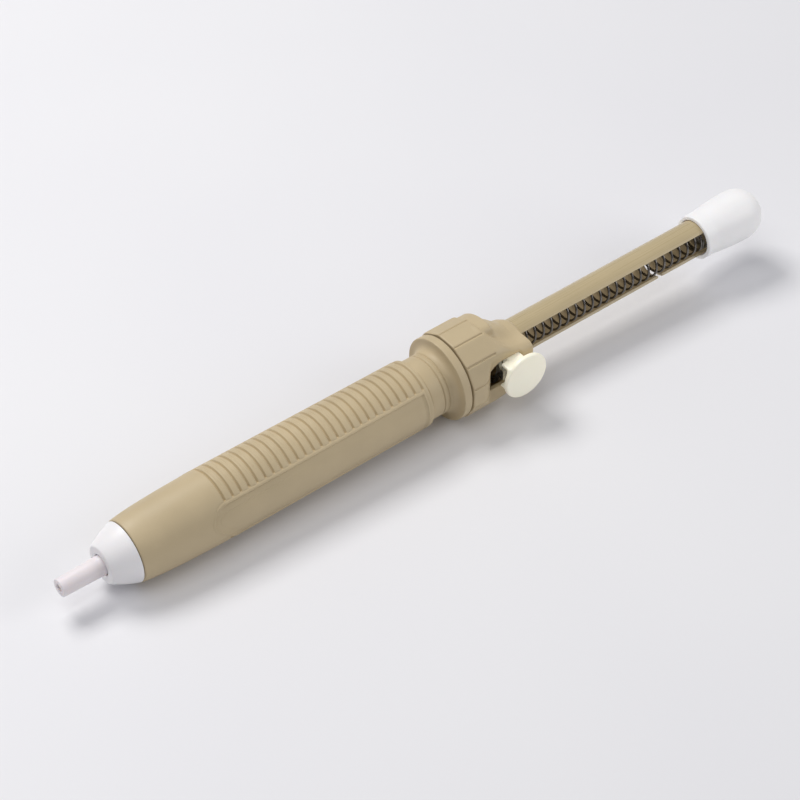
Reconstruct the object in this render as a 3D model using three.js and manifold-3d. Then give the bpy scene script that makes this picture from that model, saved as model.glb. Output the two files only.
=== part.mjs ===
// Hand-operated desoldering pump: a spring-driven plunger and piston in a ribbed grip barrel.
//
// Pieces are drawn about the tool axis, which is X. A station is the distance in millimetres
// behind the nozzle tip. The release button is on the -Y side and +Z is up. The finished group
// is moved so that its origin is the middle of the rear cap's lowest flat.

import * as THREE from 'three';
import { mergeVertices } from 'three/addons/utils/BufferGeometryUtils.js';
import Module from 'manifold-3d';

const wasm = await Module();
wasm.setup();

// ---- Driving dimensions, millimetres and degrees ----

const GAP = 0.3;
const STROKE = 88;

const NOZZLE = { tipRadius: 3.5, rootRadius: 3.9, bore: 1.5, end: 24.5 };
const NOZZLE_FLANGE = { front: 22, radius: 5.6 };
const NOSE = { front: 17.2, frontRadius: 7.4, rear: 27.3, rearRadius: 12, spigotEnd: 38, wall: 1.7 };
const NOSE_SWELL = [22.6, 10.6];
const NOSE_SOCKET = { radius: 4.2, counterbore: 5.9, step: 20, flareStart: 26, flareEnd: 29 };
const SEAL_GROOVE = { halfWidth: 1, noseDepth: 1.3, pistonDepth: 1.5 };
const NOZZLE_SEAL = { station: 21, centre: 4.95, section: 0.6 };
const NOSE_SEAL = { station: 32.8, centre: 10, section: 0.6 };
const PISTON_SEAL = { station: 148.8, centre: 9.9, section: 0.65 };

const BORE_RADIUS = 10.8;
const BARREL = { front: 27.6, frontRadius: 12.3, frontBevel: 0.3, rear: 178, threadRadius: 14.2 };
const SHOULDER = { front: 28.3, swell: [38, 13.75] };
const GRIP = { front: 61.5, rear: 154.3, frontRadius: 14, rearRadius: 13.6, fieldDepth: 0.6 };
const RIB = { firstGroove: 63.5, pitch: 3.556, count: 26, grooveHalfWidth: 0.65, depth: 0.5 };
const PANEL = { front: 55.6, rear: 152.6, halfHeight: 9.52, cornerRadius: 7.2, border: 0.8, proud: 0.15 };
const BAND = { radius: 12.3, lineDepth: 0.35, lines: [160.7, 163] };
const FLANGE = { front: 166.3, rear: 169.8, radius: 17, edge: 0.3, filletStart: 163.5, filletHeight: 2.6 };

const CAP = { front: 170.4, facetEnd: 184.2, apothem: 17.2, sides: 12, rimRadius: 16.7, rimEnd: 190 };
const NECK = { hollow: [192.5, 12.3], start: 197.4, radius: 9.4, end: 201.3, edge: 0.8 };
const CAP_BORES = { thread: 14.5, threadEnd: 180.3, latch: 12.6, latchEnd: 188.8, guide: 7.7 };
const BLOCK = { front: 184, root: 14.5, sweep: [190.5, 9.8], flatFront: 197, half: 9.3, side: 4.5 };
const BLOCK_ROUND = 16.2;
const SCOOP = { front: 174, shoulder: 178, end: 180.8, rear: 194.9, rise: 196, face: 13.6 };
const CHEEK_FACE = 14.6;
const WINDOW = { front: 180.9, rear: 195.3, bottom: -4.4, top: 7.85, floor: 9 };

const TUBE = { radius: 7.4, wall: 1.1, front: 156, rear: 309, slotFront: 175.9, slotHalfAngle: 50 };
const PISTON = { front: 142, rear: 155.7, radius: 10.4, bossRadius: 6, bossEnd: 168 };
const CROSS_PIN = { radius: 1, halfLength: 7.1, pistonStation: 162, plugStation: 304.5 };
const CLEANING_ROD = { radius: 0.9, tip: STROKE - 1.5, end: 148 };
const ROD_NUT = { front: 139.2, rear: 141.7, radius: 3.2 };

const BUSH = { front: 160, flangeFront: 178.3, flangeRear: 180, tailRear: 186.6, tailRadius: 8.7 };
const BUMPER = { front: 156.2, rear: 159.7, outer: 10.4, inner: 8.1 };
const SEAT = { front: 176.7, rear: 179.5, radius: 5.9, keyReach: 9.2, keyHalfWidth: 4.3 };
const MAIN_SPRING = { front: 180.4, rear: 298.1, meanRadius: 5.25, wireRadius: 0.5, pitch: 4.15 };
const SPRING_WASHER = { front: 299, rear: 299.7, outer: 5.9, inner: 3 };
const END_PLUG = { front: 300, rear: 309, radius: 6 };
const KNOB = { front: 297, lipRadius: 9.3, lipEnd: 302, widest: 319, radius: 10.5, end: 330 };
const KNOB_SHAPE = { socketEnd: 309.6, swellStation: 312, bluntness: 2.4, domeSteps: 6 };

const BUTTON = { station: 193.3, height: 0.8, headRadius: 9.7, headInner: 18.1, headOuter: 20.8 };
const BUTTON_CROWN = 0.5;
const BUTTON_POCKET = { end: 188.3, wall: 1.1, inner: 13.7, outer: 17.6 };
const STEM = { front: 185.6, rear: 195, bottom: -4.1, top: 7.55, innerEnd: 11.2, rebateEnd: 14.2 };
const BUTTON_TRAVEL = 1.8;
const BUTTON_SPRING = { station: 192.4, inner: 9.5, outer: 14.6, meanRadius: 1.7, wireRadius: 0.22 };
const BUTTON_SPRING_TURNS = 5;
const LATCH = { front: 186.9, rear: 188.5, outerRadius: 10, holeRadius: 7.7 };
const LATCH_TONGUE = { end: 13.9, half: 2.2 };
const LATCH_TOOTH = { inner: 5.6, outer: 6, top: -5.2, bottom: -8.6 };
const LATCH_PIN = { radius: 0.6, y: -12.9, front: 187, rear: 189.8 };
const LATCH_NOTCH = { top: -4.9, clearance: 0.3 };

const REST_STATION = (CAP.front + CAP.facetEnd) / 2;
const ROUND = 24;
const SMALL_ROUND = 16;
const WIRE_SIDES = 5;
const SEAL_SIDES = 6;
const STEPS_PER_TURN = 7;

// ---- Solids ----

// A closed three.js geometry as a solid that can be joined and cut.
function solidOf(geometry) {
  geometry.deleteAttribute('normal');
  geometry.deleteAttribute('uv');
  const merged = mergeVertices(geometry, 1e-4);
  const corners = merged.index.array;
  const triVerts = [];
  for (let i = 0; i < corners.length; i += 3) {
    const [a, b, c] = [corners[i], corners[i + 1], corners[i + 2]];
    const isFlat = a === b || b === c || c === a;
    if (!isFlat) triVerts.push(a, b, c);
  }
  return new wasm.Manifold(new wasm.Mesh({
    numProp: 3,
    vertProperties: new Float32Array(merged.attributes.position.array),
    triVerts: new Uint32Array(triVerts),
  }));
}

// A solid's surface as a geometry for a mesh.
function geometryOf(solid) {
  const surface = solid.getMesh();
  const geometry = new THREE.BufferGeometry();
  geometry.setAttribute('position', new THREE.BufferAttribute(surface.vertProperties, 3));
  geometry.setIndex(new THREE.BufferAttribute(surface.triVerts, 1));
  geometry.computeVertexNormals();
  return geometry;
}

// A lathe geometry about Y from [height, radius] points, listed in either direction. A profile
// that leaves the axis at both ends closes on itself.
function latheOf(points, segments) {
  const outline = points.map(([height, radius]) => new THREE.Vector2(radius, height));
  const isHollow = outline[0].x > 0 && outline.at(-1).x > 0;
  if (isHollow) outline.push(outline[0].clone());
  const runsOutward = THREE.ShapeUtils.area(outline) > 0;
  if (!runsOutward) outline.reverse();
  return new THREE.LatheGeometry(outline, segments);
}

// A solid of revolution about the tool axis, from [station, radius] points.
function turned(points, segments = ROUND) {
  return solidOf(latheOf(points, segments).rotateZ(-Math.PI / 2));
}

// A solid of revolution about a line along -Y through a station, from [reach, radius] points.
function turnedTowardsButton(points, station, segments = ROUND) {
  return solidOf(latheOf(points, segments).rotateX(Math.PI).translate(station, 0, 0));
}

// A round bar or bore along the tool axis.
function bar(front, rear, radius, segments = ROUND) {
  return turned([[front, 0], [front, radius], [rear, radius], [rear, 0]], segments);
}

// A ring along the tool axis.
function ring(front, rear, inner, outer, segments = ROUND) {
  return turned([[front, inner], [front, outer], [rear, outer], [rear, inner]], segments);
}

// The corners of a regular polygon round a point.
function polygon(x, y, radius, sides) {
  const corners = [];
  for (let i = 0; i < sides; i += 1) {
    const angle = (2 * Math.PI * i) / sides;
    corners.push([x + radius * Math.cos(angle), y + radius * Math.sin(angle)]);
  }
  return corners;
}

// A rubber ring about the tool axis.
function sealRing({ station, centre, section }) {
  return turned(polygon(station, centre, section, SEAL_SIDES));
}

// A box from its lowest to its highest corner.
function box(low, high) {
  const size = high.map((value, i) => value - low[i]);
  const middle = high.map((value, i) => (value + low[i]) / 2);
  return solidOf(new THREE.BoxGeometry(...size).translate(...middle));
}

// An upright round bar across the tool axis.
function crossBar(station, radius, halfLength) {
  const geometry = new THREE.CylinderGeometry(radius, radius, 2 * halfLength, SMALL_ROUND);
  return solidOf(geometry.rotateX(Math.PI / 2).translate(station, 0, 0));
}

// A flat plate square to the tool axis, from an outline drawn in Y and Z.
function plate(outline, front, rear) {
  const shape = new THREE.Shape(outline);
  const geometry = new THREE.ExtrudeGeometry(shape, { depth: rear - front, bevelEnabled: false });
  const toAxis = new THREE.Matrix4().makeBasis(
    new THREE.Vector3(0, 1, 0),
    new THREE.Vector3(0, 0, 1),
    new THREE.Vector3(1, 0, 0),
  );
  return solidOf(geometry.applyMatrix4(toAxis).translate(front, 0, 0));
}

// A bar along Y between two places, from a shape drawn in X and Z.
function barAcross(shape, lowY, highY) {
  const options = { depth: highY - lowY, bevelEnabled: false, curveSegments: 5 };
  return solidOf(new THREE.ExtrudeGeometry(shape, options).rotateX(Math.PI / 2).translate(0, highY, 0));
}

// A round-ended outline in Y and Z: two half circles joined by straight sides along Y.
function longRound(radius, lowY, highY) {
  const points = [];
  const half = ROUND / 2;
  for (let i = 0; i <= half; i += 1) {
    const angle = -Math.PI / 2 + (i * Math.PI) / half;
    points.push(new THREE.Vector2(highY + radius * Math.cos(angle), radius * Math.sin(angle)));
  }
  for (let i = 0; i <= half; i += 1) {
    const angle = Math.PI / 2 + (i * Math.PI) / half;
    points.push(new THREE.Vector2(lowY + radius * Math.cos(angle), radius * Math.sin(angle)));
  }
  return points;
}

// [station, radius] points on a smooth bend between two points.
function bend(start, control, end, steps) {
  const curve = new THREE.QuadraticBezierCurve(
    new THREE.Vector2(...start),
    new THREE.Vector2(...control),
    new THREE.Vector2(...end),
  );
  return curve.getPoints(steps).map((point) => [point.x, point.y]);
}

// A coil of wire about X, or about Y when turned across.
class CoilCurve extends THREE.Curve {
  constructor(start, end, radius, turns, across) {
    super();
    Object.assign(this, { start, end, radius, turns, across });
  }

  getPoint(t, target = new THREE.Vector3()) {
    const angle = 2 * Math.PI * this.turns * t;
    const along = this.start + (this.end - this.start) * t;
    const side = this.radius * Math.cos(angle);
    const up = this.radius * Math.sin(angle);
    return this.across ? target.set(side, along, up) : target.set(along, side, up);
  }
}

function coil({ start, end, meanRadius, wireRadius, turns, across = false }) {
  const corners = polygon(0, 0, wireRadius, WIRE_SIDES).map(([x, y]) => new THREE.Vector2(x, y));
  const geometry = new THREE.ExtrudeGeometry(new THREE.Shape(corners), {
    steps: Math.round(turns * STEPS_PER_TURN),
    extrudePath: new CoilCurve(start, end, meanRadius, turns, across),
  });
  return solidOf(geometry);
}

// ---- Nose ----

function nozzle() {
  const { tipRadius, rootRadius, bore, end } = NOZZLE;
  return turned([
    [0, bore],
    [0, tipRadius],
    [NOZZLE_FLANGE.front, rootRadius],
    [NOZZLE_FLANGE.front, NOZZLE_FLANGE.radius],
    [end, NOZZLE_FLANGE.radius],
    [end, bore],
  ], SMALL_ROUND);
}

function noseCone() {
  const spigotRadius = BORE_RADIUS - GAP;
  const grooveRadius = spigotRadius - SEAL_GROOVE.noseDepth;
  const grooveFront = NOSE_SEAL.station - SEAL_GROOVE.halfWidth;
  const grooveRear = NOSE_SEAL.station + SEAL_GROOVE.halfWidth;
  const coneFace = bend([NOSE.front, NOSE.frontRadius], NOSE_SWELL, [NOSE.rear, NOSE.rearRadius], 5);
  return turned([
    [NOSE.front, NOSE_SOCKET.radius],
    ...coneFace,
    [NOSE.rear, spigotRadius],
    [grooveFront, spigotRadius],
    [grooveFront, grooveRadius],
    [grooveRear, grooveRadius],
    [grooveRear, spigotRadius],
    [NOSE.spigotEnd, spigotRadius],
    [NOSE.spigotEnd, spigotRadius - NOSE.wall],
    [NOSE_SOCKET.flareEnd, spigotRadius - NOSE.wall],
    [NOSE_SOCKET.flareStart, NOSE_SOCKET.counterbore],
    [NOSE_SOCKET.step, NOSE_SOCKET.counterbore],
    [NOSE_SOCKET.step, NOSE_SOCKET.radius],
  ]);
}

// ---- Barrel ----

// Radius over the ribs at a station of the grip.
function crestRadius(station) {
  const along = (station - GRIP.front) / (GRIP.rear - GRIP.front);
  return THREE.MathUtils.lerp(GRIP.frontRadius, GRIP.rearRadius, along);
}

// The smooth shoulder ahead of the ribs, raised by an offset.
function shoulder(offset) {
  const start = [SHOULDER.front, BARREL.frontRadius + offset];
  const [swellStation, swellRadius] = SHOULDER.swell;
  const end = [GRIP.front, GRIP.frontRadius + offset];
  return bend(start, [swellStation, swellRadius + offset], end, 5);
}

// The barrel's outside without its ribs, and its threaded rear spigot, as one solid.
function barrelCore() {
  const field = (station) => crestRadius(station) - GRIP.fieldDepth;
  const lines = BAND.lines.flatMap((station) => [
    [station - 0.3, BAND.radius],
    [station, BAND.radius - BAND.lineDepth],
    [station + 0.3, BAND.radius],
  ]);
  const filletTop = BAND.radius + FLANGE.filletHeight;
  const fillet = bend(
    [FLANGE.filletStart, BAND.radius],
    [FLANGE.front - 0.4, BAND.radius + 0.2],
    [FLANGE.front, filletTop],
    4,
  );
  return turned([
    [BARREL.front, 0],
    [BARREL.front, BARREL.frontRadius - BARREL.frontBevel],
    ...shoulder(0),
    [GRIP.front + 0.8, field(GRIP.front)],
    [GRIP.rear, field(GRIP.rear)],
    [GRIP.rear + 0.3, BAND.radius - BAND.lineDepth],
    [GRIP.rear + 0.9, BAND.radius],
    ...lines,
    ...fillet,
    [FLANGE.front, FLANGE.radius - FLANGE.edge],
    [FLANGE.front + FLANGE.edge, FLANGE.radius],
    [FLANGE.rear - FLANGE.edge, FLANGE.radius],
    [FLANGE.rear, FLANGE.radius - FLANGE.edge],
    [FLANGE.rear, BARREL.threadRadius],
    [BARREL.rear, BARREL.threadRadius],
    [BARREL.rear, 0],
  ]);
}

// A sleeve over the grip with a groove after each rib.
function ribSleeve() {
  const insideCore = BORE_RADIUS + 1;
  const points = [[GRIP.front, insideCore], [GRIP.front, crestRadius(GRIP.front)]];
  for (let i = 0; i < RIB.count; i += 1) {
    const groove = RIB.firstGroove + i * RIB.pitch;
    points.push([groove - RIB.grooveHalfWidth, crestRadius(groove)]);
    points.push([groove, crestRadius(groove) - RIB.depth]);
    points.push([groove + RIB.grooveHalfWidth, crestRadius(groove)]);
  }
  points.push([GRIP.rear, crestRadius(GRIP.rear)], [GRIP.rear, insideCore]);
  return turned(points);
}

// The outline of the side panels, drawn in X and Z and pulled in by an inset, as a bar along Y.
// The front end is rounded above and cut back at 45 degrees below.
function panelBar(inset) {
  const front = PANEL.front + inset;
  const rear = PANEL.rear - inset;
  const half = PANEL.halfHeight - inset;
  const corner = PANEL.cornerRadius - inset;
  const tip = half - corner;
  const shape = new THREE.Shape();
  shape.moveTo(front + tip + half, -half);
  shape.lineTo(rear, -half);
  shape.lineTo(rear, half);
  shape.lineTo(front + corner, half);
  shape.absarc(front + corner, tip, corner, Math.PI / 2, Math.PI, false);
  return barAcross(shape, -FLANGE.radius, FLANGE.radius);
}

// The raised border round each side panel.
function panelBorders() {
  const raised = turned([
    [PANEL.front - 5, 0],
    ...shoulder(PANEL.proud).filter(([station]) => station > PANEL.front - 5),
    [GRIP.rear, GRIP.rearRadius + PANEL.proud],
    [GRIP.rear, 0],
  ]);
  const frames = panelBar(0).subtract(panelBar(PANEL.border));
  return raised.intersect(frames);
}

// What the panels' fields take off the smooth shoulder.
function panelFronts() {
  const belowField = turned([
    [BARREL.front, 0],
    ...shoulder(-GRIP.fieldDepth),
    [GRIP.front + 2, GRIP.frontRadius - GRIP.fieldDepth],
    [GRIP.front + 2, 0],
  ]);
  const front = bar(BARREL.front, GRIP.front + 1, FLANGE.radius);
  return panelBar(PANEL.border).intersect(front).subtract(belowField);
}

function barrel() {
  const ribs = ribSleeve().subtract(panelBar(0));
  return barrelCore()
    .subtract(panelFronts())
    .add(ribs)
    .add(panelBorders())
    .subtract(bar(BARREL.front - 1, BARREL.rear + 1, BORE_RADIUS));
}

// ---- Plunger ----

function pistonHead() {
  const { front, rear, radius, bossRadius, bossEnd } = PISTON;
  const grooveRadius = radius - SEAL_GROOVE.pistonDepth;
  const grooveFront = PISTON_SEAL.station - SEAL_GROOVE.halfWidth;
  const grooveRear = PISTON_SEAL.station + SEAL_GROOVE.halfWidth;
  const rodHole = CLEANING_ROD.radius + GAP;
  const body = turned([
    [front, rodHole],
    [front, radius],
    [grooveFront, radius],
    [grooveFront, grooveRadius],
    [grooveRear, grooveRadius],
    [grooveRear, radius],
    [rear, radius],
    [rear, bossRadius],
    [bossEnd, bossRadius],
    [bossEnd, 0],
    [CLEANING_ROD.end + GAP, 0],
    [CLEANING_ROD.end + GAP, rodHole],
    [front, rodHole],
  ]);
  return body.subtract(crossBar(CROSS_PIN.pistonStation, CROSS_PIN.radius + GAP, CROSS_PIN.halfLength));
}

function cleaningRod() {
  const { radius, tip, end } = CLEANING_ROD;
  return turned([[tip, 0], [tip + radius, radius], [end, radius], [end, 0]], 12);
}

function rodNut() {
  const hex = bar(ROD_NUT.front, ROD_NUT.rear, ROD_NUT.radius, 6);
  return hex.subtract(bar(ROD_NUT.front - 1, ROD_NUT.rear + 1, CLEANING_ROD.radius + GAP, 12));
}

// The sector that is open along the tube's button side.
function slotWedge() {
  const half = THREE.MathUtils.degToRad(TUBE.slotHalfAngle);
  const reach = 2 * TUBE.radius;
  const outline = [
    new THREE.Vector2(0, 0),
    new THREE.Vector2(-reach * Math.cos(half), -reach * Math.sin(half)),
    new THREE.Vector2(-reach, -reach * Math.sin(half)),
    new THREE.Vector2(-reach, reach * Math.sin(half)),
    new THREE.Vector2(-reach * Math.cos(half), reach * Math.sin(half)),
  ];
  return plate(outline.reverse(), TUBE.slotFront, TUBE.rear + 1);
}

// The cut across the bottom of the tube that the latch plate's tooth drops into.
function latchNotch() {
  const { radius } = TUBE;
  const low = [LATCH.front + STROKE - LATCH_NOTCH.clearance, -radius - 1, -radius - 1];
  const high = [LATCH.rear + STROKE + LATCH_NOTCH.clearance, radius, LATCH_NOTCH.top];
  return box(low, high);
}

function plungerTube() {
  const pinHole = CROSS_PIN.radius + GAP;
  return ring(TUBE.front, TUBE.rear, TUBE.radius - TUBE.wall, TUBE.radius)
    .subtract(slotWedge())
    .subtract(latchNotch())
    .subtract(crossBar(CROSS_PIN.pistonStation, pinHole, TUBE.radius + 1))
    .subtract(crossBar(CROSS_PIN.plugStation, pinHole, TUBE.radius + 1));
}

// A cross pin of the plunger tube.
function crossPin(station) {
  return crossBar(station, CROSS_PIN.radius, CROSS_PIN.halfLength);
}

function springWasher() {
  const { front, rear, inner, outer } = SPRING_WASHER;
  return ring(front, rear, inner, outer, SMALL_ROUND);
}

function endPlug() {
  const body = bar(END_PLUG.front, END_PLUG.rear, END_PLUG.radius);
  return body.subtract(crossBar(CROSS_PIN.plugStation, CROSS_PIN.radius + GAP, TUBE.radius));
}

// A thimble-shaped knob: a straight lip, a slow swell and a blunt round end.
function knob() {
  const socketRadius = TUBE.radius + GAP;
  const { socketEnd, swellStation, bluntness, domeSteps } = KNOB_SHAPE;
  const swellStart = [KNOB.lipEnd, KNOB.lipRadius];
  const swell = bend(swellStart, [swellStation, KNOB.radius], [KNOB.widest, KNOB.radius], 4);
  const endLength = KNOB.end - KNOB.widest;
  const dome = [];
  for (let i = 1; i <= domeSteps; i += 1) {
    const along = Math.sin((i * Math.PI) / (2 * domeSteps));
    const radius = KNOB.radius * Math.sqrt(1 - along ** bluntness);
    dome.push([KNOB.widest + endLength * along, i === domeSteps ? 0 : radius]);
  }
  return turned([
    [socketEnd, 0],
    [socketEnd, socketRadius],
    [KNOB.front, socketRadius],
    [KNOB.front, KNOB.lipRadius - 0.5],
    [KNOB.front + 0.5, KNOB.lipRadius],
    ...swell,
    ...dome,
  ]);
}

// ---- Spring guide ----

function guideBush() {
  const spigotRadius = BORE_RADIUS - GAP;
  const keyReach = SEAT.keyReach + 1;
  const keyHalf = SEAT.keyHalfWidth + GAP;
  const body = turned([
    [BUSH.front, CAP_BORES.guide],
    [BUSH.front, spigotRadius],
    [BUSH.flangeFront, spigotRadius],
    [BUSH.flangeFront, BARREL.threadRadius],
    [BUSH.flangeRear, BARREL.threadRadius],
    [BUSH.flangeRear, BUSH.tailRadius],
    [BUSH.tailRear, BUSH.tailRadius],
    [BUSH.tailRear, CAP_BORES.guide],
  ]);
  const keyway = box([SEAT.front - GAP, -keyReach, -keyHalf], [BUSH.tailRear + 1, -5, keyHalf]);
  return body.subtract(keyway);
}

// A disc inside the tube, with a key that reaches through the tube's slot into the guide bush.
function springSeat() {
  const disc = bar(SEAT.front, SEAT.rear, SEAT.radius, SMALL_ROUND);
  const key = box(
    [SEAT.front, -SEAT.keyReach, -SEAT.keyHalfWidth],
    [SEAT.rear, -2, SEAT.keyHalfWidth],
  );
  return disc.add(key);
}

// ---- Rear cap ----

function capSides() {
  const radius = CAP.apothem / Math.cos(Math.PI / CAP.sides);
  const prism = new THREE.CylinderGeometry(radius, radius, CAP.facetEnd - CAP.front, CAP.sides);
  prism.rotateZ(-Math.PI / 2).rotateX(Math.PI / CAP.sides).translate(REST_STATION, 0, 0);
  return solidOf(prism);
}

// The round rim, the hollow-curved neck and the short boss round the tube. The rim is left out
// on the button side, where the block takes its place.
function capNeck() {
  const hollow = bend([CAP.rimEnd, CAP.rimRadius], NECK.hollow, [NECK.start, NECK.radius], 6);
  const neck = turned([
    [CAP.facetEnd - 3, 0],
    [CAP.facetEnd - 3, CAP.rimRadius],
    ...hollow,
    [NECK.end - NECK.edge, NECK.radius],
    [NECK.end, NECK.radius - NECK.edge],
    [NECK.end, 0],
  ]);
  const reach = CAP.apothem + 1;
  return neck.subtract(box([CAP.facetEnd, -reach, -reach], [NECK.start, -BLOCK.side, reach]));
}

// The block that carries the button. It sweeps down from the facets to a flat top and bottom.
function buttonBlock() {
  const { front, root, sweep, flatFront, half } = BLOCK;
  const [sweepStation, sweepHeight] = sweep;
  const side = new THREE.Shape();
  side.moveTo(front, -root);
  side.quadraticCurveTo(sweepStation, -sweepHeight, flatFront, -half);
  side.lineTo(NECK.end, -half);
  side.lineTo(NECK.end, half);
  side.lineTo(flatFront, half);
  side.quadraticCurveTo(sweepStation, sweepHeight, front, root);
  const outer = turned([
    [front - 1, 0],
    [front - 1, CAP.rimRadius],
    [CAP.rimEnd, BLOCK_ROUND],
    [NECK.end - NECK.edge, BLOCK_ROUND],
    [NECK.end, BLOCK_ROUND - NECK.edge],
    [NECK.end, 0],
  ]);
  return barAcross(side, -CAP.apothem, 0).intersect(outer);
}

// What is cut away below the button's head: a rounded shoulder, then a flat face.
function buttonScoop() {
  const { front, shoulder: shoulderStation, end, rear, rise, face } = SCOOP;
  const reach = CAP.apothem + 1;
  const shape = new THREE.Shape();
  shape.moveTo(front, -CAP.apothem);
  shape.quadraticCurveTo(shoulderStation, -CAP.apothem, end, -face);
  shape.lineTo(rear, -face);
  shape.lineTo(rise, -CHEEK_FACE);
  shape.lineTo(NECK.end + 1, -CHEEK_FACE);
  shape.lineTo(NECK.end + 1, -reach);
  shape.lineTo(front, -reach);
  const options = { depth: 2 * reach, bevelEnabled: false, curveSegments: 5 };
  return solidOf(new THREE.ExtrudeGeometry(shape, options).translate(0, 0, -reach));
}

function rearCap() {
  const { thread, threadEnd, latch, latchEnd, guide } = CAP_BORES;
  const bores = turned([
    [CAP.front - 1, 0],
    [CAP.front - 1, thread],
    [threadEnd, thread],
    [threadEnd, latch],
    [latchEnd, latch],
    [latchEnd, guide],
    [NECK.end + 1, guide],
    [NECK.end + 1, 0],
  ]);
  const window = box(
    [WINDOW.front, -CAP.apothem - 2, WINDOW.bottom],
    [WINDOW.rear, -WINDOW.floor, WINDOW.top],
  );
  return capSides()
    .add(capNeck())
    .add(buttonBlock())
    .subtract(buttonScoop())
    .subtract(bores)
    .subtract(window);
}

// ---- Release button ----

function buttonHead() {
  const { station, height, headRadius, headInner, headOuter } = BUTTON;
  const crownStart = headOuter - BUTTON_CROWN;
  return turnedTowardsButton([
    [headInner, 0],
    [headInner, headRadius - 0.3],
    [headInner + 0.4, headRadius],
    [crownStart - 0.5, headRadius],
    [crownStart, headRadius - 0.6],
    [headOuter - 0.1, headRadius / 2],
    [headOuter, 0],
  ], station).translate([0, 0, height]);
}

function button() {
  const outer = box(
    [STEM.front, -BUTTON.headInner - 0.5, STEM.bottom],
    [STEM.rear, -STEM.rebateEnd, STEM.top],
  );
  const inner = box(
    [LATCH.rear + GAP, -STEM.rebateEnd - 0.5, STEM.bottom],
    [STEM.rear, -STEM.innerEnd, STEM.top],
  );
  const pocket = box(
    [STEM.front - 1, -BUTTON_POCKET.outer, STEM.bottom + BUTTON_POCKET.wall],
    [BUTTON_POCKET.end, -BUTTON_POCKET.inner, STEM.top - BUTTON_POCKET.wall],
  );
  const springRoom = 2 * GAP;
  const holeReach = BUTTON_SPRING.outer + springRoom;
  const holeRadius = BUTTON_SPRING.meanRadius + springRoom;
  const springHole = turnedTowardsButton([
    [0, 0],
    [0, holeRadius],
    [holeReach, holeRadius],
    [holeReach, 0],
  ], BUTTON_SPRING.station, SMALL_ROUND);
  const pinHole = bar(LATCH_PIN.front - 1, BUTTON_SPRING.station, LATCH_PIN.radius + GAP, 12);
  return outer
    .add(inner)
    .add(buttonHead())
    .subtract(pocket)
    .subtract(springHole)
    .subtract(pinHole.translate([0, LATCH_PIN.y, 0]));
}

// A ring-shaped plate round the tube, long enough in its hole to slide by the button's travel.
function latchPlate() {
  const { front, rear, outerRadius, holeRadius } = LATCH;
  const slack = BUTTON_TRAVEL + GAP;
  const blank = plate(longRound(outerRadius, -slack, 0), front, rear);
  const hole = plate(longRound(holeRadius, -slack, 0), front - 1, rear + 1);
  const tongue = box(
    [front, -LATCH_TONGUE.end, -LATCH_TONGUE.half],
    [rear, -outerRadius, LATCH_TONGUE.half],
  );
  const tooth = box(
    [front, LATCH_TOOTH.inner, LATCH_TOOTH.bottom],
    [rear, LATCH_TOOTH.outer, LATCH_TOOTH.top],
  );
  const pinHole = bar(front - 1, rear + 1, LATCH_PIN.radius + GAP, 12).translate([0, LATCH_PIN.y, 0]);
  return blank.subtract(hole).add(tooth.intersect(blank)).add(tongue).subtract(pinHole);
}

function latchPin() {
  return bar(LATCH_PIN.front, LATCH_PIN.rear, LATCH_PIN.radius, 12).translate([0, LATCH_PIN.y, 0]);
}

function buttonSpring() {
  const { station, inner, outer, meanRadius, wireRadius } = BUTTON_SPRING;
  const turns = BUTTON_SPRING_TURNS;
  const wound = coil({ start: -outer, end: -inner, meanRadius, wireRadius, turns, across: true });
  return wound.translate([station, 0, 0]);
}

function mainSpring() {
  const { front, rear, meanRadius, wireRadius, pitch } = MAIN_SPRING;
  return coil({ start: front, end: rear, meanRadius, wireRadius, turns: (rear - front) / pitch });
}

// ---- Finishes ----

function finish(color, roughness, metalness = 0) {
  return { color, roughness, metalness };
}

const FINISHES = {
  beigePlastic: finish(0xb9a582, 0.55),
  whitePlastic: finish(0xf2eff0, 0.45),
  clearFluoropolymer: finish(0xebdfe2, 0.5),
  creamPlastic: finish(0xf0ebd6, 0.5),
  whiteAcetal: finish(0xe6e3da, 0.4),
  rubber: finish(0x26241f, 0.8),
  darkSteel: finish(0x5c5751, 0.3, 1),
  brightSteel: finish(0xb9b8b4, 0.3, 1),
};

// ---- Assembly ----

const PIECES = [
  ['nozzle', nozzle(), 'clearFluoropolymer'],
  ['nozzle_o_ring', sealRing(NOZZLE_SEAL), 'rubber'],
  ['nose_cone', noseCone(), 'whitePlastic'],
  ['nose_o_ring', sealRing(NOSE_SEAL), 'rubber'],
  ['barrel', barrel(), 'beigePlastic'],
  ['cleaning_rod', cleaningRod(), 'brightSteel'],
  ['rod_nut', rodNut(), 'brightSteel'],
  ['piston_head', pistonHead(), 'whiteAcetal'],
  ['piston_o_ring', sealRing(PISTON_SEAL), 'rubber'],
  ['piston_pin', crossPin(CROSS_PIN.pistonStation), 'brightSteel'],
  ['plunger_tube', plungerTube(), 'beigePlastic'],
  ['main_spring', mainSpring(), 'darkSteel'],
  ['spring_seat', springSeat(), 'whiteAcetal'],
  ['spring_washer', springWasher(), 'brightSteel'],
  ['tube_end_plug', endPlug(), 'whiteAcetal'],
  ['plug_pin', crossPin(CROSS_PIN.plugStation), 'brightSteel'],
  ['knob', knob(), 'whitePlastic'],
  ['rubber_bumper', ring(BUMPER.front, BUMPER.rear, BUMPER.inner, BUMPER.outer), 'rubber'],
  ['guide_bush', guideBush(), 'whiteAcetal'],
  ['rear_cap', rearCap(), 'beigePlastic'],
  ['latch_plate', latchPlate(), 'brightSteel'],
  ['latch_pin', latchPin(), 'brightSteel'],
  ['button_spring', buttonSpring(), 'brightSteel'],
  ['button', button(), 'creamPlastic'],
];

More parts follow.
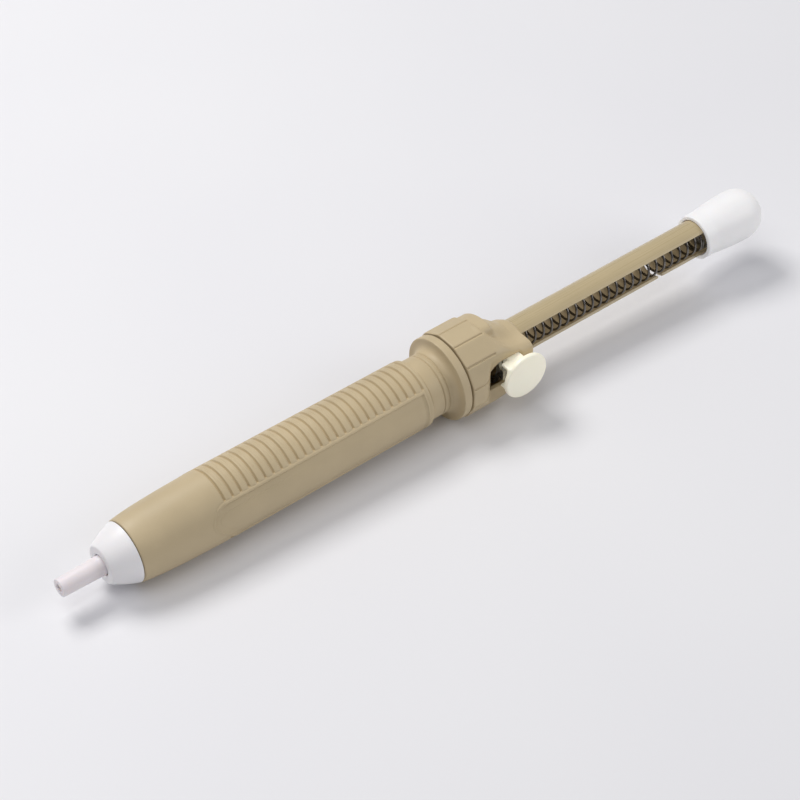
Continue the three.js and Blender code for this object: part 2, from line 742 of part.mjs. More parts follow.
const pump = new THREE.Group();
pump.position.set(-REST_STATION, 0, CAP.apothem);
for (const [name, solid, finishName] of PIECES) {
  const mesh = new THREE.Mesh(geometryOf(solid), new THREE.MeshStandardMaterial(FINISHES[finishName]));
  mesh.name = name;
  pump.add(mesh);
}

export default pump;
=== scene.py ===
"""Looks of the desoldering pump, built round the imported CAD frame.

Shapes are written in tool coordinates, in millimetres: a station behind the nozzle tip, then Y
and Z from the tool axis, with the release button towards -Y. to_frame() turns them into metres in
the frame. An angle round the tool axis is measured from -Y, upwards.
"""

import math

import bmesh
import bpy
import numpy as np
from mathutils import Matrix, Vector


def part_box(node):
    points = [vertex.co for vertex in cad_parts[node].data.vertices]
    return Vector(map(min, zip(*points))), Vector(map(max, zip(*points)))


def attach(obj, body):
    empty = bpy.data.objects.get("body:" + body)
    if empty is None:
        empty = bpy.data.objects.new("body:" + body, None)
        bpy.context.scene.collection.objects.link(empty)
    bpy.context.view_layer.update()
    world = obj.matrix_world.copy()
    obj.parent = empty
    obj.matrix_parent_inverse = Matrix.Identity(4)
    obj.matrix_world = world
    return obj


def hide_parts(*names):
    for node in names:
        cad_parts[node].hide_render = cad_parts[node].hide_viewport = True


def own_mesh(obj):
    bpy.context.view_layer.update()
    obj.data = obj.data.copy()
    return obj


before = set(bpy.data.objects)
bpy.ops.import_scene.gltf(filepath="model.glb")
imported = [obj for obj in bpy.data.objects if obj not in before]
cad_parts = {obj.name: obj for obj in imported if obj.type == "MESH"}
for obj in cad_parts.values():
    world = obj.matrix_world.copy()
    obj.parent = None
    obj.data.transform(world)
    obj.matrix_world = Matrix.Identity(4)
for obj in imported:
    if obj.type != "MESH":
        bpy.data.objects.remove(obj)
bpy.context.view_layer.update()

MM = 0.001
TUBE_LOW, TUBE_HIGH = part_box("plunger_tube")
TIP_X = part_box("nozzle")[0].x
AXIS_Z = (TUBE_LOW.z + TUBE_HIGH.z) / 2

STROKE = 88.0
GAP = 0.3

MERGE_METRES = 1e-7
DEGENERATE_METRES = 1e-8
ON_AXIS = 1e-6


# ---- Placing and meshing ----


def to_frame(points):
    """Tool coordinates in millimetres as frame coordinates in metres."""
    placed = np.asarray(points, float) * MM
    placed[:, 0] += TIP_X
    placed[:, 2] += AXIS_Z
    return placed


def place_piece(name, mesh, body, material, node):
    """An object that rides on a body and stands for a CAD node."""
    mesh.materials.append(material)
    obj = bpy.data.objects.new(name, mesh)
    bpy.context.scene.collection.objects.link(obj)
    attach(obj, body)
    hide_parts(node)
    return obj


def add_piece(name, points, faces, body, material, slot, node, sharp=32.0, weighted=True):
    """A piece from points and faces, shaded smooth between its sharp edges."""
    mesh = bpy.data.meshes.new(name)
    mesh.from_pydata(to_frame(points).tolist(), [], [list(map(int, f)) for f in faces])
    work = bmesh.new()
    work.from_mesh(mesh)
    bmesh.ops.remove_doubles(work, verts=work.verts, dist=MERGE_METRES)
    bmesh.ops.dissolve_degenerate(work, edges=work.edges, dist=DEGENERATE_METRES)
    bmesh.ops.recalc_face_normals(work, faces=work.faces)
    work.to_mesh(mesh)
    work.free()
    mesh.shade_smooth()
    mesh.set_sharp_from_angle(angle=math.radians(sharp))
    obj = place_piece(name, mesh, body, material, node)
    if weighted:
        modifier = obj.modifiers.new("weighted_normals", "WEIGHTED_NORMAL")
        modifier.keep_sharp = True
    return obj


def grid_faces(rows, columns, closed_rows):
    """Quads of a grid of points stored row by row, each row a closed ring."""
    faces = []
    for i in range(rows if closed_rows else rows - 1):
        low, high = i * columns, ((i + 1) % rows) * columns
        for j in range(columns):
            k = (j + 1) % columns
            faces.append((low + j, low + k, high + k, high + j))
    return faces


def rounded(corners, steps=4):
    """(station, radius) points of a line through corners given as (station, radius, fillet)."""
    closed = corners[0][1] > 0 or corners[-1][1] > 0
    count = len(corners)
    points = []
    for i, corner in enumerate(corners):
        here = np.array(corner[:2], float)
        fillet = corner[2] if len(corner) > 2 else 0.0
        is_end = not closed and i in (0, count - 1)
        if fillet <= 0 or is_end:
            points.append(here)
            continue
        before = np.array(corners[i - 1][:2], float) - here
        after = np.array(corners[(i + 1) % count][:2], float) - here
        lengths = np.linalg.norm(before), np.linalg.norm(after)
        reach = min(fillet, 0.49 * lengths[0], 0.49 * lengths[1])
        start = here + before / lengths[0] * reach
        end = here + after / lengths[1] * reach
        for t in np.linspace(0, 1, steps + 1):
            points.append((1 - t) ** 2 * start + 2 * t * (1 - t) * here + t**2 * end)
    return np.array(points)


def bend(start, control, end, steps):
    """(station, radius) points on a quadratic bend, without fillets."""
    t = np.linspace(0, 1, steps + 1)[:, None]
    start, control, end = (np.array(p, float) for p in (start, control, end))
    points = (1 - t) ** 2 * start + 2 * t * (1 - t) * control + t**2 * end
    return [(p[0], p[1], 0) for p in points]


def lathe(profile, columns=128):
    """Points and faces of a solid of revolution about the tool axis."""
    profile = np.asarray(profile, float)
    closed = profile[0][1] > ON_AXIS or profile[-1][1] > ON_AXIS
    angles = np.linspace(0, 2 * math.pi, columns, endpoint=False)
    station = np.repeat(profile[:, 0], columns)
    radius = np.repeat(profile[:, 1], columns)
    around = np.tile(angles, len(profile))
    points = np.stack([station, -radius * np.cos(around), radius * np.sin(around)], 1)
    return points, grid_faces(len(profile), columns, closed)


def ring_profile(front, rear, inner, outer, edge):
    """A plain ring's profile with rounded edges."""
    corners = ((front, inner), (front, outer), (rear, outer), (rear, inner))
    return rounded([(station, radius, edge) for station, radius in corners])


def torus(station, centre, section, columns=96, sides=20):
    """A round seal about the tool axis."""
    turn = np.linspace(0, 2 * math.pi, sides, endpoint=False)
    profile = np.stack([station + section * np.cos(turn), centre + section * np.sin(turn)], 1)
    return lathe(profile, columns)


def sweep_wire(centres, wire, sides=12):
    """Points and faces of a round wire along a line of points, with domed ends."""
    centres = np.asarray(centres, float)
    tangent = np.gradient(centres, axis=0)
    tangent /= np.linalg.norm(tangent, axis=1)[:, None]
    across = np.cross(tangent, np.array([1.0, 0.0, 0.0]))
    if np.linalg.norm(across, axis=1).min() < 1e-3:
        across = np.cross(tangent, np.array([0.0, 1.0, 0.0]))
    across /= np.linalg.norm(across, axis=1)[:, None]
    up = np.cross(tangent, across)
    dome = [(-0.9, 0.3), (-0.6, 0.75), (0.0, 1.0)]
    rings = [(0, lead * wire, share) for lead, share in dome]
    rings += [(i, 0.0, 1.0) for i in range(1, len(centres) - 1)]
    rings += [(len(centres) - 1, -lead * wire, share) for lead, share in reversed(dome)]
    turn = np.linspace(0, 2 * math.pi, sides, endpoint=False)
    points = []
    for i, lead, share in rings:
        middle = centres[i] + tangent[i] * lead
        circle = np.outer(np.cos(turn), across[i]) + np.outer(np.sin(turn), up[i])
        points.append(middle + circle * wire * share)
    faces = grid_faces(len(rings), sides, False)
    faces.append(tuple(range(sides)))
    faces.append(tuple((len(rings) - 1) * sides + j for j in reversed(range(sides))))
    return np.concatenate(points), faces


# ---- Surfaces from distance fields ----


def soft_min(a, b, blend):
    """The smaller of two fields, with a fillet of about that size where they meet."""
    h = np.clip(0.5 + 0.5 * (b - a) / blend, 0, 1)
    return b * (1 - h) + a * h - blend * h * (1 - h)


def soft_max(a, b, blend):
    """The larger of two fields, with a rounded edge of about that size where they meet."""
    return -soft_min(-a, -b, blend)


def slab(value, low, high):
    """Distance outside a slab, negative inside."""
    return np.abs(value - (low + high) / 2) - (high - low) / 2


def rounded_meet(a, b, radius):
    """Where two fields are both inside, with outer edges of a radius."""
    a, b = a + radius, b + radius
    outside = np.hypot(np.maximum(a, 0), np.maximum(b, 0))
    return outside + np.minimum(np.maximum(a, b), 0) - radius


PROBE_SHARE = 0.2
SETTLE_ROUNDS = 3
LEAST_SLOPE = 0.05


def edge_ends(grid, axis, across):
    """Values at both ends of each grid edge along an axis, over a slice across the other axes."""
    start = [across] * 3
    end = [across] * 3
    start[axis], end[axis] = slice(0, -1), slice(1, None)
    return grid[tuple(start)], grid[tuple(end)]


def surface_of(field, low, high, step):
    """Points, faces and normals of the surface where a field is zero, by surface nets."""
    counts = [int(math.ceil((b - a) / step)) + 1 for a, b in zip(low, high)]
    axes = [a + step * np.arange(n) for a, n in zip(low, counts)]
    values = field(*np.meshgrid(*axes, indexing="ij"))
    inside = values < 0
    cell_shape = tuple(n - 1 for n in counts)
    total = np.zeros(cell_shape + (3,))
    hits = np.zeros(cell_shape)
    for axis in range(3):
        others = [k for k in range(3) if k != axis]
        a, b = edge_ends(values, axis, slice(None))
        crossed = (a < 0) != (b < 0)
        share = np.where(crossed, a / np.where(crossed, a - b, 1), 0)
        for da in (0, 1):
            for db in (0, 1):
                pick = [slice(None)] * 3
                pick[others[0]] = slice(da, da + cell_shape[others[0]])
                pick[others[1]] = slice(db, db + cell_shape[others[1]])
                hit = crossed[tuple(pick)]
                hits += hit
                total[..., axis] += np.where(hit, share[tuple(pick)], 0)
                total[..., others[0]] += hit * da
                total[..., others[1]] += hit * db
    used = hits > 0
    number = np.full(cell_shape, -1)
    number[used] = np.arange(used.sum())
    cells = np.argwhere(used)
    points = np.array(low) + step * (cells + total[used] / hits[used][:, None])
    faces = []
    for axis in range(3):
        u, v = [(1, 2), (2, 0), (0, 1)][axis]
        a, b = edge_ends(inside, axis, slice(1, -1))
        where = np.argwhere(a != b)
        leaving = a[a != b]
        base = where + 1
        base[:, axis] = where[:, axis]
        quad = []
        for du, dv in ((-1, -1), (0, -1), (0, 0), (-1, 0)):
            cell = base.copy()
            cell[:, u] += du
            cell[:, v] += dv
            quad.append(number[tuple(cell.T)])
        quad = np.stack(quad, 1)
        quad[~leaving] = quad[~leaving][:, ::-1]
        faces.append(quad)
    probe = step * PROBE_SHARE
    for _ in range(SETTLE_ROUNDS):
        here, slope = field_and_slope(field, points, probe)
        move = slope * (here / np.maximum((slope**2).sum(1), LEAST_SLOPE))[:, None]
        size = np.linalg.norm(move, axis=1)
        move *= np.minimum(1, 0.5 * step / np.maximum(size, 1e-9))[:, None]
        points -= move
    _, slope = field_and_slope(field, points, probe)
    normals = slope / np.maximum(np.linalg.norm(slope, axis=1), 1e-9)[:, None]
    return points, np.concatenate(faces), normals


def field_and_slope(field, points, probe):
    """A field's values and slopes at points."""
    here = field(*points.T)
    slope = np.empty_like(points)
    for axis in range(3):
        shift = np.zeros(3)
        shift[axis] = probe
        slope[:, axis] = (field(*(points + shift).T) - field(*(points - shift).T)) / (2 * probe)
    return here, slope


def add_field_piece(name, field, low, high, step, body, material, slot, node):
    """A piece whose surface comes from a distance field, with the field's own normals."""
    points, faces, normals = surface_of(field, low, high, step)
    mesh = bpy.data.meshes.new(name)
    mesh.from_pydata(to_frame(points).tolist(), [], faces.tolist())
    mesh.shade_smooth()
    mesh.normals_split_custom_set_from_vertices(normals.tolist())
    place_piece(name, mesh, body, material, node)


# ---- Materials ----


def node_material(name):
    """A node material with one shader on its output, returned with its tree and shader."""
    material = bpy.data.materials.new(name)
    material.use_nodes = True
    tree = material.node_tree
    tree.nodes.clear()
    output = tree.nodes.new("ShaderNodeOutputMaterial")
    shader = tree.nodes.new("ShaderNodeBsdfPrincipled")
    tree.links.new(shader.outputs["BSDF"], output.inputs["Surface"])
    return material, tree, shader


def set_values(shader, values):
    """Constant values on the shader's sockets."""
    for key, value in values.items():
        shader.inputs[key].default_value = value


def link_surface(tree, shader, colour, rough, normal):
    """Feeds a material's colour, roughness and normal to its shader."""
    for key, source in (("Base Color", colour), ("Roughness", rough), ("Normal", normal)):
        tree.links.new(source, shader.inputs[key])


def coordinates(tree, scale=(1, 1, 1)):
    """Object coordinates in millimetres, stretched by a scale."""
    source = tree.nodes.new("ShaderNodeTexCoord")
    mapping = tree.nodes.new("ShaderNodeMapping")
    mapping.inputs["Scale"].default_value = [1000 * s for s in scale]
    tree.links.new(source.outputs["Object"], mapping.inputs["Vector"])
    return mapping.outputs["Vector"]


def noise(tree, vector, scale, detail=2.0, roughness=0.5):
    """A noise texture, with its scale in waves per millimetre."""
    node = tree.nodes.new("ShaderNodeTexNoise")
    node.inputs["Scale"].default_value = scale
    node.inputs["Detail"].default_value = detail
    node.inputs["Roughness"].default_value = roughness
    tree.links.new(vector, node.inputs["Vector"])
    return node.outputs["Fac"]


def spread(tree, value, low, high, to_low=0.0, to_high=1.0):
    """A value moved from one range to another, clamped."""
    node = tree.nodes.new("ShaderNodeMapRange")
    keys = ("From Min", "From Max", "To Min", "To Max")
    for key, number in zip(keys, (low, high, to_low, to_high)):
        node.inputs[key].default_value = number
    tree.links.new(value, node.inputs["Value"])
    return node.outputs["Result"]


def ramp(tree, value, stops):
    """A colour ramp with (place, colour) stops."""
    node = tree.nodes.new("ShaderNodeValToRGB")
    elements = node.color_ramp.elements
    while len(elements) < len(stops):
        elements.new(0.5)
    for element, (place, colour) in zip(elements, stops):
        element.position = place
        element.color = (*colour, 1)
    tree.links.new(value, node.inputs["Fac"])
    return node.outputs["Color"]


def blend_colour(tree, share, first, second, mode="MIX"):
    """Two colours mixed by a share. Each may be a constant or another node's output."""
    node = tree.nodes.new("ShaderNodeMix")
    node.data_type = "RGBA"
    node.blend_type = mode
    factor_socket, first_socket, second_socket = 0, 6, 7
    for index, source in ((factor_socket, share), (first_socket, first), (second_socket, second)):
        if isinstance(source, (int, float)):
            node.inputs[index].default_value = source
        elif isinstance(source, tuple):
            node.inputs[index].default_value = (*source, 1)
        else:
            tree.links.new(source, node.inputs[index])
    return node.outputs[2]


def bump(tree, height, distance, strength=1.0, below=None):
    """A bump of that height in millimetres, on top of another bump."""
    node = tree.nodes.new("ShaderNodeBump")
    node.inputs["Distance"].default_value = distance * MM
    node.inputs["Strength"].default_value = strength
    tree.links.new(height, node.inputs["Height"])
    if below is not None:
        tree.links.new(below, node.inputs["Normal"])
    return node.outputs["Normal"]


SPARK_GRAIN = 0.35
WHITE = (1.0, 1.0, 1.0)
OIL = (0.03, 0.028, 0.025)


def moulded(name, colour, roughness, shade, grain, glow=0.0, glow_reach=1.0, scuffs=0.5,
            painted_glow=0.0):
    """Moulded plastic: spark grain, slow colour drift, faint scuffs, and a painted glow that lifts
    the shade.
    """
    material, tree, shader = node_material(name)
    place = coordinates(tree)
    drift = noise(tree, place, 0.035, 3.0, 0.6)
    speckle = noise(tree, place, 2.2, 2.0, 0.6)
    deep = tuple(c * (1 - shade) for c in colour)
    pale = tuple(min(1.0, c * (1 + 0.6 * shade)) for c in colour)
    body_colour = ramp(tree, drift, [(0.3, deep), (0.7, pale)])
    fine = ramp(tree, speckle, [(0.35, (0.985, 0.983, 0.98)), (0.65, WHITE)])
    mottled = blend_colour(tree, 1.0, body_colour, fine, "MULTIPLY")
    scratch_place = coordinates(tree, (0.25, 1.0, 1.0))
    scratch = noise(tree, scratch_place, 0.9, 6.0, 0.7)
    scuffed = spread(tree, scratch, 0.62, 0.78)
    worn = tuple(min(1.0, c * 1.12 + 0.02) for c in colour)
    worn_share = tree.nodes.new("ShaderNodeMath")
    worn_share.operation = "MULTIPLY"
    worn_share.inputs[1].default_value = 0.35 * scuffs
    tree.links.new(scuffed, worn_share.inputs[0])
    final = blend_colour(tree, worn_share.outputs[0], mottled, worn)
    polish = noise(tree, place, 0.12, 4.0, 0.55)
    rough = spread(tree, polish, 0.25, 0.75, roughness - 0.06, roughness + 0.08)
    grain_height = noise(tree, place, 1.0 / SPARK_GRAIN, 3.0, 0.55)
    grained = bump(tree, grain_height, grain)
    waves = noise(tree, place, 0.11, 1.0, 0.4)
    link_surface(tree, shader, final, rough, bump(tree, waves, 0.05, 0.35, grained))
    # Emission in the plastic's own colour is a painted glow: it brightens the shaded sides.
    set_values(shader, {"IOR": 1.49, "Emission Color": (*colour, 1), "Emission Strength": painted_glow})
    if glow > 0:
        set_values(shader, {"Subsurface Weight": glow, "Subsurface Radius": (1.0, 0.8, 0.6),
                            "Subsurface Scale": glow_reach * MM})
    return material


def extruded(name, colour, roughness, shade=0.05, painted_glow=0.0):
    """Drawn plastic tube: faint lengthwise die lines, a smooth skin, and a painted glow that lifts
    the shade.
    """
    material, tree, shader = node_material(name)
    place = coordinates(tree)
    lines_place = coordinates(tree, (0.012, 1.0, 1.0))
    drift = noise(tree, place, 0.05, 2.0, 0.5)
    die = noise(tree, lines_place, 2.4, 4.0, 0.6)
    deep = tuple(c * (1 - shade) for c in colour)
    base = ramp(tree, drift, [(0.3, deep), (0.7, colour)])
    streak = ramp(tree, die, [(0.35, (0.975, 0.972, 0.965)), (0.65, WHITE)])
    streaked = blend_colour(tree, 1.0, base, streak, "MULTIPLY")
    rough = spread(tree, die, 0.3, 0.7, roughness - 0.05, roughness + 0.08)
    lined = bump(tree, die, 0.006)
    slow = noise(tree, place, 0.09, 1.0, 0.4)
    link_surface(tree, shader, streaked, rough, bump(tree, slow, 0.04, 0.3, lined))
    # Emission in the plastic's own colour is a painted glow: it brightens the shaded inside.
    set_values(shader, {"IOR": 1.5, "Emission Color": (*colour, 1), "Emission Strength": painted_glow})
    return material


def metal(name, colour, roughness, brush=(1.0, 1.0, 1.0), stain=0.25):
    """Bare or plated steel: drawing lines, and an uneven oil film in the low spots."""
    material, tree, shader = node_material(name)
    place = coordinates(tree)
    brushed = noise(tree, coordinates(tree, brush), 3.0, 4.0, 0.6)
    film = noise(tree, place, 0.35, 4.0, 0.6)
    tone = ramp(tree, brushed, [(0.3, tuple(c * 0.82 for c in colour)), (0.7, colour)])
    oiled = spread(tree, film, 0.5, 0.72, 0.0, stain)
    stained = blend_colour(tree, oiled, tone, OIL)
    rough = spread(tree, film, 0.3, 0.7, roughness - 0.05, roughness + 0.12)
    link_surface(tree, shader, stained, rough, bump(tree, brushed, 0.006))
    set_values(shader, {"Metallic": 1.0})
    return material


def rubber(name, colour, roughness):
    """Lightly greased moulded rubber."""
    material, tree, shader = node_material(name)
    place = coordinates(tree)
    dust = noise(tree, place, 0.8, 5.0, 0.65)
    pale = tuple(c * 1.9 + 0.01 for c in colour)
    dusty = ramp(tree, dust, [(0.4, colour), (0.8, pale)])
    rough = spread(tree, dust, 0.3, 0.7, roughness - 0.15, roughness + 0.1)
    link_surface(tree, shader, dusty, rough, bump(tree, noise(tree, place, 4.0, 3.0), 0.02))
    return material


def floor_material():
    """Pale matt board."""
    material, tree, shader = node_material("studio_floor")
    place = coordinates(tree)
    drift = noise(tree, place, 0.004, 2.0, 0.5)
    colour = ramp(tree, drift, [(0.3, (0.80, 0.80, 0.825)), (0.7, (0.83, 0.83, 0.845))])
    rough = spread(tree, drift, 0.3, 0.7, 0.5, 0.58)
    link_surface(tree, shader, colour, rough, bump(tree, noise(tree, place, 1.2, 2.0), 0.01))
    return material


BEIGE = (0.555, 0.448, 0.276)
TUBE_BEIGE = (0.52, 0.425, 0.255)
# The bore's beige is the tube's beige made darker: painted shade for the inside of the tube.
BORE_BEIGE_PAINTED_SHADE = (0.46, 0.36, 0.215)
NOSE_WHITE = (0.92, 0.905, 0.91)
KNOB_WHITE = (0.91, 0.905, 0.905)
NOZZLE_PINK = (0.86, 0.80, 0.815)
CREAM = (0.97, 0.93, 0.77)
ACETAL = (0.78, 0.765, 0.72)
RUBBER = (0.02, 0.019, 0.018)
WIRE_STEEL = (0.20, 0.185, 0.17)
PLATED_STEEL = (0.66, 0.655, 0.64)

beige_plastic = moulded("beige_moulded_plastic", BEIGE, 0.46, shade=0.07, grain=0.016)
tube_plastic = extruded("beige_extruded_plastic", TUBE_BEIGE, 0.28)
# The bore is a darker copy of the tube's plastic, painted shade, with a painted glow that lifts its
# darkest parts.
bore_painted_shade_and_glow = extruded("beige_extruded_bore_painted_shade_and_glow", BORE_BEIGE_PAINTED_SHADE, 0.42, shade=0.2, painted_glow=0.18)
white_plastic = moulded("white_moulded_plastic", NOSE_WHITE, 0.36, shade=0.02, grain=0.006,
                        glow=0.12, glow_reach=1.5, scuffs=0.2)
# The knob has a small painted glow that brightens its shaded underside.
knob_plastic = moulded("white_knob_plastic", KNOB_WHITE, 0.38, shade=0.02, grain=0.008,
                       glow=0.12, glow_reach=1.5, scuffs=0.2, painted_glow=0.05)
nozzle_plastic = moulded("waxy_fluoropolymer", NOZZLE_PINK, 0.42, shade=0.03, grain=0.006,
                         glow=0.35, glow_reach=2.5, scuffs=0.3)
# The button has a painted glow that brightens its shaded face.
cream_plastic = moulded("cream_moulded_plastic", CREAM, 0.34, shade=0.02, grain=0.006,
                        glow=0.2, glow_reach=2.0, scuffs=0.2, painted_glow=0.1)
acetal = moulded("white_acetal", ACETAL, 0.4, shade=0.04, grain=0.008, glow=0.1)
black_rubber = rubber("black_seal_rubber", RUBBER, 0.55)
spring_steel = metal("oiled_spring_wire", WIRE_STEEL, 0.17, stain=0.5)
bright_steel = metal("plated_steel", PLATED_STEEL, 0.26, brush=(0.1, 1.0, 1.0))


# ---- Nose ----

NOZZLE = {"tip": 3.5, "root": 3.9, "bore": 1.5, "flange": 5.6, "flange_front": 22.0, "end": 24.5}
NOSE = {"front": 17.2, "front_radius": 7.4, "rear": 27.3, "rear_radius": 12.0, "spigot_end": 38.0}
NOSE_HOLE = {"radius": 4.2, "end": 20.0}
NOSE_HOLLOW = {"radius": 5.9, "end": 26.0, "wide": 29.0, "wall": 1.7}
NOSE_GROOVE_DEPTH = 1.3
NOSE_SEAL = {"station": 32.8, "centre": 10.0, "section": 0.6}
NOZZLE_SEAL = {"station": 21.0, "centre": 4.95, "section": 0.6, "columns": 64}
SEAL_HALF = 1.0
BORE = 10.8
SPIGOT = BORE - GAP


def seal_groove(seal, outer, inner, fillet):
    """The four corners of the groove that holds a seal."""
    front, rear = seal["station"] - SEAL_HALF, seal["station"] + SEAL_HALF
    corners = ((front, outer), (front, inner), (rear, inner), (rear, outer))
    return [(station, radius, fillet) for station, radius in corners]


nozzle_line = rounded([
    (0.0, NOZZLE["bore"], 0.3),
    (0.0, NOZZLE["tip"], 0.45),
    (NOZZLE["flange_front"], NOZZLE["root"], 0.0),
    (NOZZLE["flange_front"], NOZZLE["flange"], 0.3),
    (NOZZLE["end"], NOZZLE["flange"], 0.3),
    (NOZZLE["end"], NOZZLE["bore"], 0.3),
], 5)
add_piece("nozzle_tube", *lathe(nozzle_line, 96), "nose", nozzle_plastic, "nozzle_plastic",
          "nozzle")

nose_line = rounded([
    (NOSE["front"], NOSE_HOLE["radius"], 0.3),
    (NOSE["front"], NOSE["front_radius"], 0.55),
    *bend((17.9, 7.9), (22.6, 10.55), (NOSE["rear"] - 0.6, 11.85), 14),
    (NOSE["rear"], NOSE["rear_radius"], 0.35),
    (NOSE["rear"], SPIGOT, 0.3),
    *seal_groove(NOSE_SEAL, SPIGOT, SPIGOT - NOSE_GROOVE_DEPTH, 0.2),
    (NOSE["spigot_end"], SPIGOT, 0.5),
    (NOSE["spigot_end"], SPIGOT - NOSE_HOLLOW["wall"], 0.3),
    (NOSE_HOLLOW["wide"], SPIGOT - NOSE_HOLLOW["wall"], 0.5),
    (NOSE_HOLLOW["end"], NOSE_HOLLOW["radius"], 0.3),
    (NOSE_HOLE["end"], NOSE_HOLLOW["radius"], 0.3),
    (NOSE_HOLE["end"], NOSE_HOLE["radius"], 0.3),
], 5)
add_piece("nose_cone_shell", *lathe(nose_line, 144), "nose", white_plastic, "white_plastic",
          "nose_cone")


def add_seal(name, size, body, node):
    """A round rubber seal in its groove."""
    add_piece(name, *torus(**size), body, black_rubber, "black_rubber", node)


add_seal("nose_seal", NOSE_SEAL, "nose", "nose_o_ring")
add_seal("nozzle_seal", NOZZLE_SEAL, "nose", "nozzle_o_ring")


# ---- Barrel ----

BARREL = {"front": 27.6, "front_radius": 12.3, "rear": 178.0}
THREAD = {"first": 170.6, "pitch": 1.5, "turns": 5, "crest": 14.2, "root": 13.75, "end": 13.4}
SHOULDER = {"front": 28.3, "swell": (38.0, 13.75)}
GRIP = {"front": 61.5, "rear": 154.3, "front_radius": 14.0, "rear_radius": 13.6}
RIB = {"first": 63.5, "pitch": 3.556, "count": 26, "half": 0.6, "depth": 0.8, "crown": 0.05}
RIB_LAST = RIB["first"] + (RIB["count"] - 1) * RIB["pitch"]
RIB_LINE = {"half": 0.24, "depth": 0.13}
PANEL = {"front": 55.6, "rear": 152.6, "half": 9.8, "corner": 7.2, "border": 0.75, "proud": 0.10,
         "field": 0.50, "gutter": 0.08, "tip": 2.6, "blend": 1.6}
PANEL_LINE = {"inset": 2.9, "half": 0.26, "depth": 0.16, "fade": (75.0, 110.0)}
BAND = {"radius": 12.3, "lines": (160.7, 163.0), "depth": 0.5}
FLANGE = {"front": 166.3, "rear": 169.8, "radius": 17.0, "edge": 0.45, "fillet": 15.6}
BARREL_COLUMNS = {"panel": 15, "crown": 34}


def smooth_step(value, low, high):
    """0 below a range, 1 above it, and an eased rise between."""
    t = np.clip((value - low) / (high - low), 0, 1)
    return t * t * (3 - 2 * t)


def grip_radius(station):
    """Radius over the smooth shoulder and the rib crests."""
    start = (SHOULDER["front"], BARREL["front_radius"])
    curve = np.array(bend(start, SHOULDER["swell"], (GRIP["front"], GRIP["front_radius"]), 40))
    shoulder = np.interp(station, curve[:, 0], curve[:, 1])
    along = (station - GRIP["front"]) / (GRIP["rear"] - GRIP["front"])
    taper = GRIP["front_radius"] + (GRIP["rear_radius"] - GRIP["front_radius"]) * along
    return np.where(station < GRIP["front"], shoulder, taper)


def rib_drop(station):
    """How far a point of the ribs lies under their crests."""
    place = (station - RIB["first"]) / RIB["pitch"]
    nearest = np.clip(np.round(place), 0, RIB["count"] - 1)
    off = np.abs(station - (RIB["first"] + nearest * RIB["pitch"]))
    groove = RIB["depth"] * (1 - smooth_step(off, 0.1, RIB["half"]))
    inside = (station > RIB["first"]) & (station < RIB_LAST)
    from_groove = smooth_step(off, RIB["half"], 0.5 * RIB["pitch"])
    crown = np.where(inside, RIB["crown"] * (1 - from_groove), 0)
    return groove + crown


def rib_line_drop(station):
    """Depth of the fine line along the middle of each rib."""
    place = (station - RIB["first"]) / RIB["pitch"]
    middle = RIB["first"] + (np.floor(place) + 0.5) * RIB["pitch"]
    between = (place > 0) & (place < RIB["count"] - 1)
    off = np.abs(station - middle)
    line = RIB_LINE["depth"] * (1 - smooth_step(off, 0.05, RIB_LINE["half"]))
    return np.where(between, line, 0)


def panel_distance(station, height):
    """Distance outside the side panel's outline, in its own plane, negative inside."""
    half, corner = PANEL["half"], PANEL["corner"]
    over_z = np.abs(height) - (half - corner)
    over_s = PANEL["front"] + corner - station
    at_corner = (over_z > 0) & (over_s > 0)
    past_ends = np.maximum(PANEL["front"] - station, station - PANEL["rear"])
    plain = np.maximum(np.abs(height) - half, past_ends)
    rounded_end = np.where(at_corner, np.hypot(over_z, over_s) - corner, plain)
    slant = (PANEL["tip"] - height - (station - PANEL["front"])) * math.sqrt(0.5)
    return soft_max(rounded_end, slant, PANEL["blend"])


def barrel_radius(station, height):
    """The grip's outer radius at a station, at a height above or below the axis on either side."""
    away = panel_distance(station, height)
    shape = -rib_drop(station)
    border = PANEL["border"]
    shape += (-PANEL["gutter"] - shape) * (1 - smooth_step(away, 0.22, 0.4))
    shape += (PANEL["proud"] - shape) * (1 - smooth_step(away, -0.16, 0.1))
    shape += (-PANEL["field"] - shape) * (1 - smooth_step(away, -border - 0.14, -border + 0.06))
    off_line = np.abs(away + PANEL_LINE["inset"])
    fade = 1 - smooth_step(station, *PANEL_LINE["fade"])
    line = PANEL_LINE["depth"] * fade * (1 - smooth_step(off_line, 0.04, PANEL_LINE["half"]))
    return grip_radius(station) + (shape - line)


def barrel_stations():
    """Stations of the grip's rows, close together where the shape turns."""
    stations = list(np.arange(SHOULDER["front"], PANEL["front"] - 1.0, 1.5))
    stations += list(np.arange(PANEL["front"] - 0.8, RIB["first"] - RIB["half"], 0.22))
    groove_rows = (-0.58, -0.44, -0.29, -0.12, 0.12, 0.29, 0.44, 0.58, 1.0)
    line_rows = (-0.25, -0.14, -0.04, 0.04, 0.14, 0.25)
    for i in range(RIB["count"]):
        groove = RIB["first"] + i * RIB["pitch"]
        stations += [groove + off for off in groove_rows]
        stations += [groove + RIB["pitch"] / 2 + off for off in line_rows]
    stations = [s for s in stations if s < RIB_LAST + 0.5]
    stations += list(np.arange(RIB_LAST + 0.62, GRIP["rear"] - 0.35, 0.2))
    return np.array(sorted(set(np.round(stations, 4))))


def turned_row(station, radius, angles):
    """A row of points at one radius, at the given angles."""
    return [(station, -radius * math.cos(a), radius * math.sin(a)) for a in angles]


